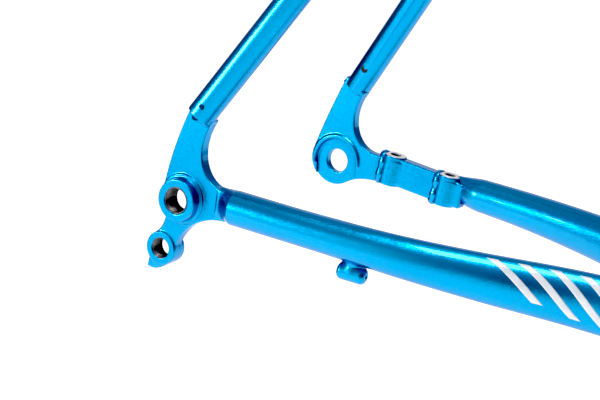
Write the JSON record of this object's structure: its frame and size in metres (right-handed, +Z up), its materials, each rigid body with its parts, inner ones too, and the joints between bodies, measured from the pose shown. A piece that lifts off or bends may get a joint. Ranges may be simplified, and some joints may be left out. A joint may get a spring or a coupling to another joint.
{
  "type": "bicycle frame",
  "caption": "Welded steel disc-brake bicycle frame with diamond tubes, S-bent chainstays, plate dropouts, hanger eye and flat brake mount.",
  "frame": {"origin": "centre of the bottom bracket shell", "axes": "+X forward along the bicycle, +Y towards the rider's left, +Z up"},
  "size_m": [0.8903, 0.165, 0.5934],
  "materials": {
    "frame_paint": "gloss candy metallic blue over steel, under clear coat",
    "black_anodised": "satin black anodised",
    "stainless": "turned and polished",
    "silver_alloy": "satin silver anodised",
    "black_nylon": "moulded matte"
  },
  "bodies": {
    "frame": {"head_tube": "frame_paint", "seat_tube": "frame_paint", "top_tube": "frame_paint", "down_tube": "frame_paint", "bottom_bracket_shell": "frame_paint", "chainstay_right": "frame_paint", "chainstay_left": "frame_paint", "seatstay_right": "frame_paint", "seatstay_left": "frame_paint", "seatstay_cap_right": "frame_paint", "seatstay_cap_left": "frame_paint", "seatstay_bridge": "frame_paint", "chainstay_bridge": "frame_paint", "dropout_right": "frame_paint", "dropout_left": "frame_paint", "flat_mount_boss_rear": "frame_paint", "flat_mount_boss_front": "frame_paint", "flat_mount_bridge": "frame_paint", "chainstay_cable_stop": "frame_paint", "cable_stop_right": "frame_paint", "cable_stop_left": "frame_paint", "bottle_boss_seat_tube_lower": "frame_paint", "bottle_boss_seat_tube_upper": "frame_paint", "bottle_boss_down_tube_lower": "frame_paint", "bottle_boss_down_tube_upper": "frame_paint", "cable_guide": "black_nylon"},
    "seat_clamp": {"seat_collar": "black_anodised", "seat_collar_nut": "stainless"},
    "clamp_bolt": {"seat_collar_bolt": "stainless"},
    "barrel_adjuster_right": {"adjuster_right": "silver_alloy"},
    "barrel_adjuster_left": {"adjuster_left": "silver_alloy"},
    "guide_screw": {"cable_guide_screw": "stainless"},
    "bottle_screw_seat_tube_lower": {"bottle_bolt_seat_tube_lower": "stainless"},
    "bottle_screw_seat_tube_upper": {"bottle_bolt_seat_tube_upper": "stainless"},
    "bottle_screw_down_tube_lower": {"bottle_bolt_down_tube_lower": "stainless"},
    "bottle_screw_down_tube_upper": {"bottle_bolt_down_tube_upper": "stainless"}
  },
  "joints": [
    {"name": "seat_collar_turn", "type": "hinge", "parent": "frame", "child": "seat_clamp", "pos_m": [-0.14527, 0, 0.49044], "axis": [-0.284, 0, 0.9588], "continuous": true},
    {"name": "seat_collar_bolt_turn", "type": "hinge", "parent": "seat_clamp", "child": "clamp_bolt", "pos_m": [-0.16857, 0, 0.48353], "axis": [0, 1, 0], "continuous": true},
    {"name": "adjuster_right_turn", "type": "hinge", "parent": "frame", "child": "barrel_adjuster_right", "pos_m": [0.35472, -0.02405, 0.39567], "axis": [0.6675, 0, 0.7446], "continuous": true},
    {"name": "adjuster_left_turn", "type": "hinge", "parent": "frame", "child": "barrel_adjuster_left", "pos_m": [0.35472, 0.02405, 0.39567], "axis": [0.6675, 0, 0.7446], "continuous": true},
    {"name": "bottle_bolt_seat_tube_lower_turn", "type": "hinge", "parent": "frame", "child": "bottle_screw_seat_tube_lower", "pos_m": [-0.0426, 0, 0.14382], "axis": [0.9588, 0, 0.284], "continuous": true},
    {"name": "bottle_bolt_seat_tube_upper_turn", "type": "hinge", "parent": "frame", "child": "bottle_screw_seat_tube_upper", "pos_m": [-0.06078, 0, 0.20519], "axis": [0.9588, 0, 0.284], "continuous": true},
    {"name": "bottle_bolt_down_tube_lower_turn", "type": "hinge", "parent": "frame", "child": "bottle_screw_down_tube_lower", "pos_m": [0.14018, 0, 0.15636], "axis": [-0.7446, 0, 0.6675], "continuous": true},
    {"name": "bottle_bolt_down_tube_upper_turn", "type": "hinge", "parent": "frame", "child": "bottle_screw_down_tube_upper", "pos_m": [0.1829, 0, 0.20402], "axis": [-0.7446, 0, 0.6675], "continuous": true},
    {"name": "cable_guide_screw_turn", "type": "hinge", "parent": "frame", "child": "guide_screw", "pos_m": [0, 0, -0.02], "axis": [0, 0, 1], "continuous": true}
  ]
}
